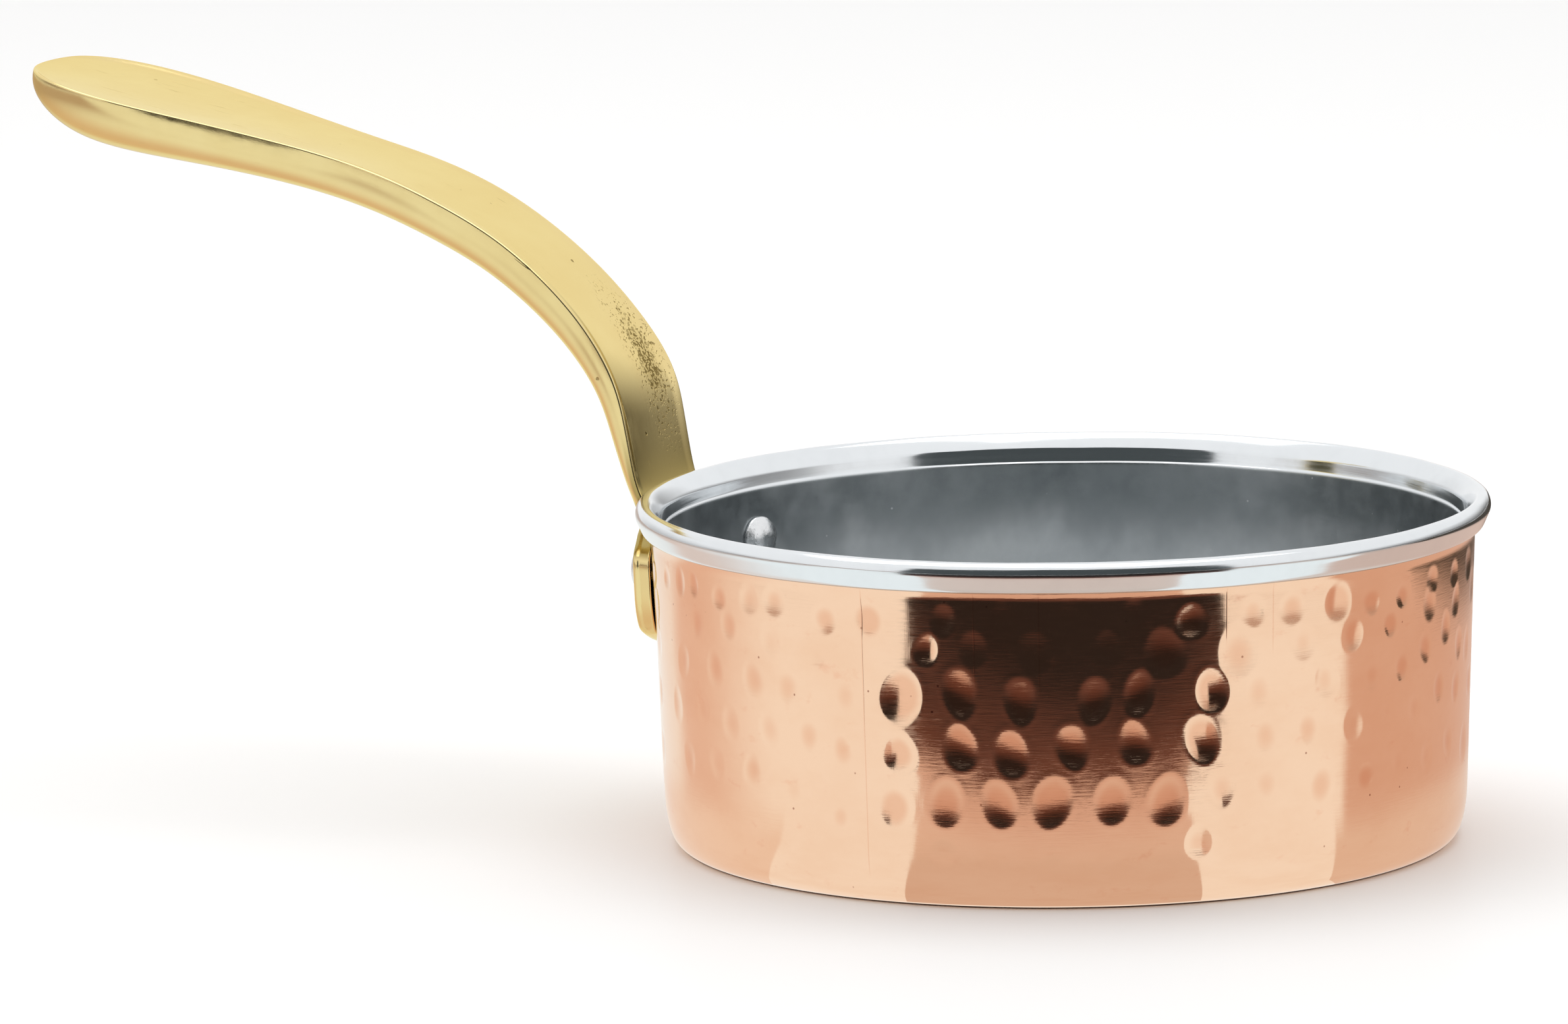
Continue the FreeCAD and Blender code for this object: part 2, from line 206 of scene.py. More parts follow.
# outline from the centre of the base, out, up, over the edge and back down inside
copper_outline = [(0.0, 0.0)] + line_points((0, 0), (66.0, 0.0), 10)
copper_outline += bezier((66.0, 0.0), (68.6, 0.0), (69.45, 2.4), 10)
copper_outline += bezier((69.45, 2.4), (70.354, 4.953), wall_low, 16)
copper_outline += line_points(wall_low, wall_top, 112)
copper_outline += [(72.15, 55.88), (72.0, 56.0), (71.5, 56.0), (71.0, 56.0), (70.85, 55.95)]
copper_outline += line_points((70.8, 55.85), (70.8 - 1.65, 10.4), 14)
copper_outline += arc_points((60.1, 10.4), 9.0, 0, -90, 9)[1:]
copper_outline += line_points((60.1, 1.4), (0.0, 1.4), 4)
copper = turned("hammered_copper", copper_outline, 1120, hammered)
# how far each point of the wall lies under the plain cone, in mm, for the painted shade in the
# hammer marks
spots = np.empty(len(copper.data.vertices) * 3)
copper.data.vertices.foreach_get("co", spots)
spots = spots.reshape(-1, 3) / MM
cone = wall_low[0] + (spots[:, 2] - wall_low[1]) * (wall_top[0] - wall_low[0]) / (
    wall_top[1] - wall_low[1])
under = cone - np.hypot(spots[:, 0], spots[:, 1])
under = np.where((under < 1.0) & (spots[:, 2] > 10.0), under, 0.0)
copper.data.attributes.new("dent_shade", "FLOAT", "POINT").data.foreach_set(
    "value", under.astype(np.float32))

# ---------------------------------------------------------------- steel liner
bead = (72.3, 57.9)
liner_outline = [(0.0, 2.2)] + line_points((0, 2.2), (60.1, 2.2), 12)
liner_outline += arc_points((60.1, 10.4), 8.2, -90, 0, 16)[1:]
liner_outline += line_points((68.3, 10.4), (69.93, 54.9), 24)
liner_outline += bezier((69.93, 54.9), (69.95, 55.4), (70.14, 55.56), 6)
liner_outline += bezier((70.14, 55.56), (70.25, 55.66), (70.29, 55.9), 4)
liner_outline += line_points((70.29, 55.9), (70.62, 57.9), 5)
liner_outline += bezier((70.62, 57.9), (72.15, 60.6), (73.0, 60.6), 16)
liner_outline += bezier((73.0, 60.6), (74.3, 60.6), (74.76, 59.4), 14)
liner_outline += bezier((74.76, 59.4), (75.08, 58.6), (74.80, 57.95), 10)
liner_outline += line_points((74.80, 57.95), (74.02, 56.15), 6)
liner_outline += bezier((74.02, 56.15), (73.62, 55.22), (73.0, 55.2), 8)
liner_outline += [(72.78, 55.2), (72.66, 55.26), (72.62, 55.5), (72.62, 55.9)]
liner_outline += arc_points(bead, 1.9, -84, 88, 16)
liner_outline += bezier((72.3, 59.8), (71.9, 59.5), (71.6, 58.3), 4)
liner_outline += bezier((71.6, 58.3), (71.0, 56.9), (70.8, 56.0), 4)
liner_outline += line_points((70.8, 56.0), (69.1, 10.4), 12)
liner_outline += arc_points((60.1, 10.4), 9.0, 0, -90, 10)[1:]
liner_outline += line_points((60.1, 1.4), (0.0, 1.4), 5)


def spun(angle, r, z):
    """The rim was rolled by hand tools, so it waves by a few hundredths."""
    rim = np.clip((z - 54.0) / 2.0, 0, 1)
    wave = (0.05 * np.sin(5 * angle + 0.6) + 0.035 * np.sin(11 * angle + 2.0)
            + 0.02 * np.sin(23 * angle + 4.0) + 0.012 * np.sin(41 * angle))
    return r + wave * 0.5 * rim, z + wave * 0.7 * rim


liner = turned("lined_rim", liner_outline, 720, spun)

# --------------------------------------------------------------------- handle
# Control points of the cast handle, tip first: reach and rise of the top face's centre
# (mm), half width, depth, wrap round the pan (0..1), boxiness of the section,
# ridge down the outside, droop of the side edges, dish of the top face.
handle_points = [
    (199.6, 129.95, 0.0, 0.0, 0, 2.2, 0, 0, 0.0),
    (199.6, 129.95, 6.0, 2.4, 0, 2.3, 0, 0, 0.1),
    (198.2, 129.6, 11.0, 5.2, 0, 2.4, 0, 0, 0.4),
    (194.0, 128.7, 15.2, 8.4, 0, 2.5, 0, 0, 0.9),
    (187.0, 127.2, 17.9, 10.8, 0, 2.6, 0, 0, 1.0),
    (177.0, 125.0, 18.4, 10.5, 0, 3.0, 0, 0, 1.0),
    (165.0, 122.5, 16.1, 9.5, 0, 3.3, 0, 0, 1.0),
    (152.0, 119.6, 13.6, 8.5, 0, 3.6, 0, 0, 0.8),
    (139.0, 116.6, 11.6, 8.2, 0, 3.6, 0, 0, 0.6),
    (127.0, 113.4, 12.1, 8.3, 0, 3.6, 0, 0, 0.5),
    (115.7, 109.0, 12.4, 8.3, 0, 3.6, 0, 0, 0.4),
    (104.8, 103.2, 11.2, 8.0, 0, 3.6, 0, 0, 0.3),
    (95.2, 95.9, 11.2, 7.6, 0, 3.6, 0, 0, 0.3),
    (87.0, 87.6, 11.2, 7.1, 0, 3.5, 0, 0, 0.5),
    (80.7, 78.2, 12.2, 6.3, 0, 3.3, 0, 0, 1.0),
    (79.0, 69.5, 12.0, 5.4, 0, 3.0, 0, 0, 0.9),
    (78.0, 63.5, 11.9, 4.9, 0, 2.4, 0, 0, 0.6),
    (77.2, 59.8, 11.8, 4.5, 0, 2.2, 0, 0, 0.3),
    (76.4, 57.4, 11.5, 4.3, 0.2, 2.2, 0.1, 0, 0.1),
    (75.0, 55.5, 12.8, 4.0, 0.6, 3.0, 0.5, 0, 0),
    (72.9, 53.6, 17.2, 3.7, 1.0, 5.0, 0.9, 0, 0),
    (72.05, 51.6, 23.4, 3.55, 1.0, 8.0, 1.0, 0, 0),
    (72.0, 49.8, 27.5, 3.5, 1.0, 9.0, 0.9, 0, 0),
    (71.9, 46.8, 27.5, 3.5, 1.0, 9.0, 0.8, 0, 0),
    (71.82, 43.4, 27.5, 3.5, 1.0, 9.0, 0.7, 0.1, 0),
    (71.74, 40.2, 27.5, 3.5, 1.0, 9.0, 0.5, 0.35, 0),
    (71.66, 36.8, 27.3, 3.5, 1.0, 9.0, 0.35, 0.65, 0),
    (71.58, 33.8, 26.8, 3.4, 1.0, 8.0, 0.2, 0.9, 0),
    (71.5, 31.7, 26.0, 3.2, 1.0, 7.0, 0.1, 1.0, 0),
    (71.47, 31.0, 25.2, 2.6, 1.0, 5.0, 0.0, 1.0, 0),
    (71.46, 30.9, 24.6, 1.6, 1.0, 4.0, 0.0, 1.0, 0),
]


RIDGE = 2.4          # mm, full height of the ridge down the outside
HALF_PLATE = 1.8     # mm, half the thickness of the flange
FLANGE_HALF = 27.0   # mm, half the width of the flange
EDGE_GAP = 0.7       # mm that the flange stands off the copper at that half width
FOOT_RADIUS = 62.0   # mm, radius of the flange's lower edge


def spline(control, count):
    """Clamped cubic B-spline through a table of control rows."""
    control = np.array(control, float)
    n, degree = len(control), 3
    knots = np.r_[[0] * degree, np.linspace(0, 1, n - degree + 1), [1] * degree]
    t = np.linspace(0, 1 - 1e-9, count)
    base = [((t >= knots[i]) & (t < knots[i + 1])).astype(float) for i in range(len(knots) - 1)]
    for p in range(1, degree + 1):
        for i in range(len(knots) - 1 - p):
            left, right = knots[i + p] - knots[i], knots[i + p + 1] - knots[i + 1]
            part = (t - knots[i]) / left * base[i] if left > 0 else 0.0
            part = part + ((knots[i + p + 1] - t) / right * base[i + 1] if right > 0 else 0.0)
            base[i] = part
    weights = np.stack(base[:n], axis=1)
    return weights @ control


def section(half, deep, boxy, ridge, dish, count):
    """Closed outline (across, above) of one cut, starting at the middle of the top face.
    The top face has a narrow raised edge; the underside is a full rounded belly."""
    round_edge = min(0.34, half * 0.3, deep * 0.3)
    flat = half - round_edge
    top = np.linspace(0, 1, count // 4)
    across = np.r_[flat * top ** 0.75]
    edge = np.clip((across - flat + 2.0) / 2.0, 0, 1)
    edge = edge * edge * (3 - 2 * edge)
    above = -dish * (0.75 * (1 - (across / max(flat, 1e-6)) ** 2) + 0.45 * (1 - edge))
    turn = np.radians(np.linspace(90, 0, 8))[1:]
    across = np.r_[across, flat + round_edge * np.cos(turn)]
    above = np.r_[above, -round_edge + round_edge * np.sin(turn)]
    t = np.radians(np.linspace(0, 90, count // 4 + 1))[1:]
    body = deep - round_edge
    power = 2.0 / min(boxy, 3.8)
    belly_x = half * np.cos(t) ** power
    belly_y = -round_edge - body * np.sin(t) ** power
    # a flange's cut is a slab whose edge leans in and has a rounded corner
    plate = min(max((boxy - 3.8) / 3.0, 0.0), 1.0)
    if plate > 0:
        corner, lean = 0.4 * body, 0.45 * body
        turn_in = np.radians(np.linspace(0, 90, 9))
        slab_x = np.r_[half, half - lean - corner * (1 - np.cos(turn_in)), 0.0]
        slab_y = np.r_[0.0, -(body - corner) - corner * np.sin(turn_in), -body]
        length = np.r_[0, np.cumsum(np.hypot(np.diff(slab_x), np.diff(slab_y)))]
        place = np.linspace(0, 1, len(t) + 1)[1:]
        edge_run = length[-2]
        at = np.where(place < 0.5, place * 2 * edge_run,
                      edge_run + (place - 0.5) * 2 * (length[-1] - edge_run))
        belly_x = belly_x * (1 - plate) + np.interp(at, length, slab_x) * plate
        belly_y = belly_y * (1 - plate) + (np.interp(at, length, slab_y) - round_edge) * plate
    belly_y = belly_y - ridge * np.clip(-belly_y / max(deep, 1e-6), 0, 1) ** 3 * np.exp(
        -(belly_x / 9.5) ** 4)
    across, above = np.r_[across, belly_x], np.r_[above, belly_y]
    return np.r_[across, -across[-2:0:-1]], np.r_[above, above[-2:0:-1]]


def cast_handle(count, around):
    rows = spline(handle_points, count)
    reach, rise = rows[:, 0], rows[:, 1]
    step_x, step_z = np.gradient(reach), np.gradient(rise)
    size = np.maximum(np.hypot(step_x, step_z), 1e-9)
    tx, tz = step_x / size, step_z / size
    tx[:3], tz[:3] = tx[3], tz[3]
    rings, maps, run = [], [], 0.0
    for k in range(count):
        _, _, half, deep, wrap, boxy, ridge, droop, dish = rows[k]
        across, above = section(max(half, 0.01), max(deep, 0.01), boxy, RIDGE * ridge, dish, around)
        # plain cut: across is Y, above is square to the path, on the pan's side
        nx, nz = -tz[k], tx[k]
        if nz < 0 and abs(nz) > abs(nx) or nx > 0 and abs(nx) >= abs(nz):
            nx, nz = -nx, -nz
        plain_x, plain_z = reach[k] + above * nx, rise[k] + above * nz
        plain = np.stack([-plain_x, across, plain_z], axis=-1)
        # wrapped cut: across runs round the copper wall, depth goes straight out from it
        turn = across / (reach[k] + HALF_PLATE)
        out = reach[k] - above + EDGE_GAP * (np.abs(across) / FLANGE_HALF) ** 4
        low = rise[k] + droop * (across ** 2) / (2 * FOOT_RADIUS)
        bent = np.stack([-out * np.cos(turn), out * np.sin(turn), low], axis=-1)
        rings.append(plain * (1 - wrap) + bent * wrap)
        run += size[k]
        maps.append(np.stack([np.r_[across, across[:1]], np.full(len(across) + 1, run),
                              np.r_[above, above[:1]]], axis=-1))
    rings, maps = np.array(rings), np.array(maps)
    # the tip closes at one point
    rings[0] = rings[0].mean(axis=0)
    # closes the lower edge between its inner and outer outlines
    middle = rings[-1].copy()
    half_count = len(middle)
    mirror = (half_count // 2 - np.arange(half_count)) % half_count
    centre = (middle + middle[mirror] * [1, 1, 1]) / 2
    for share in (0.5, 1.0):
        rings = np.concatenate([rings, (middle * (1 - share) + centre * share)[None]])
        maps = np.concatenate([maps, maps[-1:]])
    return tidy_mesh(grid_mesh("cast_handle", rings, maps), 0.01)


handle = cast_handle(520, 168)

# --------------------------------------------------------------------- rivets
def dome(head, height, edge, count):
    """Half outline of a rivet head from its middle to its rim, (radius, height)."""
    t = np.linspace(0, 1, count)
    crown = (1 - t ** 2.4) * (height - edge) + edge
    rim = [(head - 0.10, edge * 0.85), (head, edge * 0.5), (head - 0.03, 0.0)]
    return [(head * 0.93 * a, b) for a, b in zip(t, crown)] + rim


def rivet(name, side):
    """Shank through handle, copper and liner; local +Z points out of the pan."""
    outer = [(r, 3.6 + h) for r, h in dome(4.3, 1.75, 0.5, 16)]
    inner = [(r, -2.35 - h) for r, h in dome(4.25, 2.0, 0.6, 16)]
    outline = outer + [(2.5, 3.6), (2.5, -2.35)] + inner[::-1]
    obj = turned(name, outline, 64, lambda a, r, z: (
        r * (1 + 0.012 * np.sin(3 * a + side) + 0.008 * np.sin(7 * a)),
        z + 0.02 * np.sin(2 * a + side) * np.clip(r / 4, 0, 1)))
    lean, turn = math.radians(2.07), math.radians(14.5 * side)
    out = Vector((-math.cos(lean), 0, -math.sin(lean)))
    up = Vector((-math.sin(lean), 0, math.cos(lean)))
    spin = Matrix.Rotation(turn, 4, "Z")
    axes = Matrix((up.cross(out), up, out)).transposed().to_4x4()
    at = Matrix.Translation(Vector((-71.845, 0, 46.2)) * MM)
    obj.data.transform(spin @ at @ axes)
    obj.data.update()
    return obj


rivets = [rivet("dome_rivet_left", 1), rivet("dome_rivet_right", -1)]

# ------------------------------------------------------------------ materials
def material(name, metallic, color, roughness):
    mat = bpy.data.materials.new(name)
    mat.use_nodes = True
    nodes, links = mat.node_tree.nodes, mat.node_tree.links
    shader = nodes["Principled BSDF"]
    shader.inputs["Metallic"].default_value = metallic
    shader.inputs["Base Color"].default_value = (*color, 1)
    shader.inputs["Roughness"].default_value = roughness
    return mat, nodes, links, shader


class Paint:
    """Small helper for building one node tree."""

    def __init__(self, nodes, links):
        self.nodes, self.links = nodes, links
        attribute = nodes.new("ShaderNodeAttribute")
        attribute.attribute_name = "wrap"
        self.wrap = attribute.outputs["Vector"]
        self.place = nodes.new("ShaderNodeTexCoord").outputs["Object"]

    def put(self, value, socket):
        if isinstance(value, (int, float, tuple)):
            socket.default_value = value
        else:
            self.links.new(value, socket)

    def scaled(self, vector, scale, shift=(0, 0, 0)):
        node = self.nodes.new("ShaderNodeMapping")
        node.inputs["Scale"].default_value = scale
        node.inputs["Location"].default_value = shift
        self.links.new(vector, node.inputs["Vector"])
        return node.outputs["Vector"]

    def noise(self, vector, scale, detail=3.0, rough=0.55, distortion=0.0):
        node = self.nodes.new("ShaderNodeTexNoise")
        node.inputs["Scale"].default_value = scale
        node.inputs["Detail"].default_value = detail
        node.inputs["Roughness"].default_value = rough
        node.inputs["Distortion"].default_value = distortion
        self.links.new(vector, node.inputs["Vector"])
        return node.outputs["Fac"]

    def cells(self, vector, scale, randomness=1.0):
        node = self.nodes.new("ShaderNodeTexVoronoi")
        node.inputs["Scale"].default_value = scale
        node.inputs["Randomness"].default_value = randomness
        self.links.new(vector, node.inputs["Vector"])
        return node.outputs["Distance"]

    def span(self, value, low, high, to_low=0.0, to_high=1.0, smooth=True):
        node = self.nodes.new("ShaderNodeMapRange")
        node.interpolation_type = "SMOOTHSTEP" if smooth else "LINEAR"
        node.inputs["From Min"].default_value = low
        node.inputs["From Max"].default_value = high
        node.inputs["To Min"].default_value = to_low
        node.inputs["To Max"].default_value = to_high
        self.links.new(value, node.inputs["Value"])
        return node.outputs["Result"]

    def math(self, kind, a, b=0.0):
        node = self.nodes.new("ShaderNodeMath")
        node.operation = kind
        self.put(a, node.inputs[0])
        self.put(b, node.inputs[1])
        return node.outputs[0]

    def parts(self, vector):
        node = self.nodes.new("ShaderNodeSeparateXYZ")
        self.links.new(vector, node.inputs[0])
        return node.outputs

    def mix(self, factor, a, b):
        node = self.nodes.new("ShaderNodeMix")
        node.data_type = "RGBA"
        self.put(factor, node.inputs["Factor"])
        self.put((*a, 1) if isinstance(a, tuple) else a, node.inputs[6])
        self.put((*b, 1) if isinstance(b, tuple) else b, node.inputs[7])
        return node.outputs[2]

    def bump(self, height, distance, strength=1.0, normal=None):
        node = self.nodes.new("ShaderNodeBump")
        node.inputs["Strength"].default_value = strength
        node.inputs["Distance"].default_value = distance
        self.links.new(height, node.inputs["Height"])
        if normal is not None:
            self.links.new(normal, node.inputs["Normal"])
        return node.outputs["Normal"]


def copper_material():
    mat, nodes, links, shader = material("polished copper", 1.0, (0.90, 0.60, 0.42), 0.07)
    p = Paint(nodes, links)
    # buffing lines run round the pan; wrap.x is along them and wrap.y is height, in mm
    buff = p.noise(p.scaled(p.wrap, (0.22, 3.0, 1.0)), 1.0, 3.0, 0.6)
    fine = p.noise(p.scaled(p.wrap, (0.5, 9.0, 1.0)), 1.0, 2.0, 0.5)
    upright = p.noise(p.scaled(p.wrap, (3.5, 0.05, 1.0)), 1.0, 2.0, 0.5)
    cloud = p.noise(p.scaled(p.wrap, (0.05, 0.07, 1.0)), 1.0, 4.0, 0.6)
    stain = p.span(p.noise(p.scaled(p.wrap, (0.22, 0.3, 1.0)), 1.0, 5.0, 0.6), 0.60, 0.78)
    speck = p.span(p.cells(p.scaled(p.wrap, (0.16, 0.16, 0.16)), 1.0), 0.045, 0.02)
    color = p.mix(p.span(cloud, 0.35, 0.7), (0.91, 0.615, 0.435), (0.885, 0.575, 0.395))
    color = p.mix(p.math("MULTIPLY", stain, 0.35), color, (0.82, 0.40, 0.25))
    dent_shade = nodes.new("ShaderNodeAttribute")
    dent_shade.attribute_name = "dent_shade"
    # painted shade: the hammer marks are coloured a darker orange the deeper they sink under the
    # plain wall
    deep = p.span(dent_shade.outputs["Fac"], 0.03, 0.22)
    color = p.mix(p.math("MULTIPLY", deep, 0.65), color, (0.80, 0.42, 0.26))
    color = p.mix(p.math("MULTIPLY", speck, 0.75), color, (0.30, 0.12, 0.07))
    # a few upright tool lines: degrees round from the handle, from height, to height (mm)
    around, _, radius = p.parts(p.wrap)
    height = p.math("MULTIPLY", p.parts(p.place)[2], 1000.0)
    side_wall = p.span(radius, 69.0, 69.2)
    lines = None
    for turn, low, high in ((85.4, 4, 56), (101.7, 38, 56), (110.6, 36, 56), (136.6, 44, 56),
                            (143.6, 42, 56), (214.0, 20, 56), (262.5, 8, 50), (331.0, 25, 56)):
        off = p.math("ABSOLUTE", p.math("SUBTRACT", around, math.radians(turn) * WALL_RADIUS))
        line = p.math("MULTIPLY", p.span(off, 0.16, 0.04), p.span(height, low, low + 4.0))
        line = p.math("MULTIPLY", line, p.span(height, high, high - 3.0))
        lines = line if lines is None else p.math("MAXIMUM", lines, line)
    lines = p.math("MULTIPLY", lines, side_wall)
    color = p.mix(p.math("MULTIPLY", lines, 0.35), color, (0.72, 0.34, 0.20))
    links.new(color, shader.inputs["Base Color"])
    rough = p.math("ADD", p.span(buff, 0.3, 0.7, 0.05, 0.10), p.span(fine, 0.35, 0.75, 0.0, 0.03))
    rough = p.math("ADD", rough, p.math("MULTIPLY", stain, 0.08))
    links.new(rough, shader.inputs["Roughness"])
    grooves = p.math("ADD", p.math("MULTIPLY", buff, 0.7), p.math("MULTIPLY", fine, 0.15))
    grooves = p.math("ADD", grooves, p.math("MULTIPLY", upright, 0.10))
    normal = p.bump(grooves, 0.0000130, 1.0)
    normal = p.bump(lines, 0.000012, 1.0, normal)
    links.new(normal, shader.inputs["Normal"])
    return mat


def steel_material():
    mat, nodes, links, shader = material("lining steel", 1.0, (0.66, 0.68, 0.70), 0.2)
    p = Paint(nodes, links)
    where = p.math("MULTIPLY", p.parts(p.place)[2], 1000.0)
    rim = p.span(where, 55.1, 55.6)
    spin = p.noise(p.scaled(p.wrap, (0.02, 2.4, 1.0)), 1.0, 3.0, 0.6)
    fine = p.noise(p.scaled(p.wrap, (0.12, 11.0, 1.0)), 1.0, 2.0, 0.6)
    cloud = p.noise(p.scaled(p.place, (38, 38, 30)), 1.0, 4.0, 0.6)
    haze = p.noise(p.scaled(p.place, (190, 190, 190)), 1.0, 4.0, 0.65)
    fleck = p.span(p.cells(p.scaled(p.place, (170, 170, 170)), 1.0), 0.05, 0.02)
    # darker grey towards the rim, paler below it and greyer again low down
    noisy_height = p.math("ADD", where, p.math("MULTIPLY", p.math("SUBTRACT", cloud, 0.5), 26.0))
    inside = p.mix(p.span(noisy_height, 36.0, 51.0), (0.80, 0.82, 0.83), (0.25, 0.275, 0.285))
    inside = p.mix(p.math("MULTIPLY", p.span(noisy_height, 38.0, 24.0), 0.5), inside, (0.45, 0.475, 0.49))
    inside = p.mix(p.math("MULTIPLY", p.span(cloud, 0.35, 0.65), 0.35), inside, (0.62, 0.65, 0.67))
    inside = p.mix(p.math("MULTIPLY", p.span(haze, 0.35, 0.75), 0.25), inside, (0.52, 0.55, 0.57))
    inside = p.mix(p.math("MULTIPLY", fleck, 0.6), inside, (0.95, 0.96, 0.97))
    outside = p.mix(p.span(haze, 0.35, 0.75), (0.775, 0.80, 0.82), (0.75, 0.775, 0.795))
    links.new(p.mix(rim, inside, outside), shader.inputs["Base Color"])
    satin = p.math("ADD", p.span(haze, 0.3, 0.7, 0.30, 0.38), p.span(fine, 0.3, 0.7, -0.02, 0.03))
    polish = p.math("ADD", p.span(haze, 0.35, 0.75, 0.10, 0.14), p.span(spin, 0.3, 0.7, -0.01, 0.03))
    node = nodes.new("ShaderNodeMix")
    links.new(rim, node.inputs[0])
    links.new(satin, node.inputs[2])
    links.new(polish, node.inputs[3])
    links.new(node.outputs[0], shader.inputs["Roughness"])
    grooves = p.math("ADD", p.math("MULTIPLY", spin, 0.7), p.math("MULTIPLY", fine, 0.2))
    links.new(p.bump(grooves, 0.0000045, 1.0), shader.inputs["Normal"])
    return mat


def brass_material():
    mat, nodes, links, shader = material("cast brass", 1.0, (0.80, 0.64, 0.31), 0.15)
    shader.inputs["Specular Tint"].default_value = (1.0, 0.95, 0.70, 1)
    p = Paint(nodes, links)
    along = p.noise(p.scaled(p.wrap, (2.5, 0.12, 1.2)), 1.0, 3.0, 0.6)
    cloud = p.noise(p.scaled(p.place, (60, 60, 60)), 1.0, 4.0, 0.6)
    grain = p.noise(p.scaled(p.place, (1300, 1300, 1300)), 1.0, 2.0, 0.6)
    # a rough cast patch beside the far edge of the bend, and a few single pits
    away = p.math("SUBTRACT", p.parts(p.place)[1], 0.0056)
    run = p.nodes.new("ShaderNodeVectorMath")
    run.operation = "DOT_PRODUCT"
    links.new(p.scaled(p.place, (1, 1, 1), (0.0832, 0, -0.0802)), run.inputs[0])
    run.inputs[1].default_value = (0.44, 0.0, -0.897)
    wander = p.noise(p.scaled(p.place, (300, 300, 300)), 1.0, 3.0, 0.6)
    reach = p.math("SQRT", p.math("ADD", p.math("POWER", p.math("MULTIPLY", away, 1000.0), 2.0),
                                  p.math("POWER", p.math("MULTIPLY", run.outputs["Value"], 330.0),
                                         2.0)))
    reach = p.math("ADD", reach, p.math("MULTIPLY", p.math("SUBTRACT", wander, 0.5), 4.0))
    heart, skirt = p.span(reach, 3.4, 1.4), p.span(reach, 6.5, 2.5)
    grit = p.noise(p.scaled(p.place, (1700, 1700, 1700)), 1.0, 1.0, 0.5)
    pits = p.math("MULTIPLY", p.span(grit, 0.49, 0.55), heart)
    loose = p.math("MULTIPLY", p.span(grit, 0.60, 0.66), skirt)
    single = p.span(p.cells(p.scaled(p.place, (170, 170, 170)), 1.0), 0.070, 0.045)
    thin = p.span(p.noise(p.scaled(p.place, (45, 45, 45)), 1.0, 2.0, 0.5), 0.52, 0.60)
    single = p.math("MULTIPLY", single, thin)
    holes = p.math("MAXIMUM", p.math("MAXIMUM", pits, loose), single)
    scratch = p.noise(p.scaled(p.wrap, (1.9, 0.07, 1.0), (7, 3, 0)), 1.0, 2.0, 0.4, 0.5)
    scratch = p.math("MULTIPLY", p.span(scratch, 0.70, 0.73), p.span(cloud, 0.5, 0.6))
    color = p.mix(p.span(cloud, 0.3, 0.7), (0.81, 0.650, 0.315), (0.785, 0.615, 0.285))
    # painted reflection: the upper face of the neck where it comes down to the rim, and its lowest
    # part, are coloured dark olive-brown for the dark pan rim that the polished brass reflects there
    rise = p.math("MULTIPLY", p.parts(p.place)[2], 1000.0)
    low = p.math("MULTIPLY", p.span(rise, 71.0, 58.5), p.span(rise, 48.8, 50.2))
    neck_reflection_faces = p.math("MAXIMUM", p.span(p.parts(p.wrap)[2], -1.6, -0.9), p.span(rise, 57.0, 55.5))
    low = p.math("MULTIPLY", p.math("MULTIPLY", low, neck_reflection_faces), 0.85)
    color = p.mix(low, color, (0.33, 0.245, 0.08))
    color = p.mix(p.math("MULTIPLY", heart, 0.30), color, (0.45, 0.34, 0.12))
    color = p.mix(p.math("MULTIPLY", holes, 0.85), color, (0.16, 0.10, 0.02))
    color = p.mix(p.math("MULTIPLY", scratch, 0.35), color, (0.40, 0.30, 0.10))
    links.new(color, shader.inputs["Base Color"])
    rough = p.math("ADD", p.span(cloud, 0.3, 0.7, 0.10, 0.16), p.span(along, 0.3, 0.7, -0.01, 0.04))
    rough = p.math("ADD", rough, p.math("MULTIPLY", heart, 0.20))
    links.new(rough, shader.inputs["Roughness"])
    height = p.math("ADD", p.math("MULTIPLY", along, 0.5), p.math("MULTIPLY", grain, 0.10))
    normal = p.bump(height, 0.000014, 1.0)
    sunk = p.math("MULTIPLY", p.math("ADD", holes, p.math("MULTIPLY", scratch, 0.2)), -1.0)
    links.new(p.bump(sunk, 0.00012, 1.0, normal), shader.inputs["Normal"])
    return mat


def rivet_material():
    mat, nodes, links, shader = material("rivet steel", 1.0, (0.74, 0.75, 0.76), 0.22)
    p = Paint(nodes, links)
    dings = p.noise(p.scaled(p.place, (700, 700, 700)), 1.0, 4.0, 0.6)
    spots = p.span(p.cells(p.scaled(p.place, (750, 750, 750)), 1.0), 0.16, 0.08)
    color = p.mix(p.math("MULTIPLY", spots, 0.6), (0.76, 0.77, 0.78), (0.30, 0.31, 0.32))
    links.new(color, shader.inputs["Base Color"])
    links.new(p.span(dings, 0.3, 0.7, 0.14, 0.36), shader.inputs["Roughness"])
    links.new(p.bump(dings, 0.00012, 1.0), shader.inputs["Normal"])
    return mat


looks = {"copper": copper_material(), "steel": steel_material(), "brass": brass_material(),
         "rivet_steel": rivet_material()}
for piece, node, slot in ((copper, "copper_shell", "copper"), (liner, "steel_liner", "steel"),
                          (handle, "handle", "brass"), (rivets[0], "rivet_left", "rivet_steel"),
                          (rivets[1], "rivet_right", "rivet_steel")):
    piece.data.materials.append(looks[slot])
    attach(piece, "root")
    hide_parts(node)

# ------------------------------------------------------------ stage and light
front = Vector((math.sin(math.radians(VIEW)), -math.cos(math.radians(VIEW)), 0))
side = Vector((math.cos(math.radians(VIEW)), math.sin(math.radians(VIEW)), 0))


def flat_piece(name, corners, height):
    """Flat polygon on the floor; corners are (across, towards the viewer) in mm."""
    mesh = bpy.data.meshes.new(name)
    places = [(side * a + front * b) * MM + Vector((0, 0, height * MM)) for a, b in corners]
    mesh.from_pydata([tuple(v) for v in places], [], [list(range(len(places)))])
    if mesh.polygons[0].normal.z < 0:
        mesh.flip_normals()
    obj = bpy.data.objects.new(name, mesh)
    bpy.context.scene.collection.objects.link(obj)
    return obj


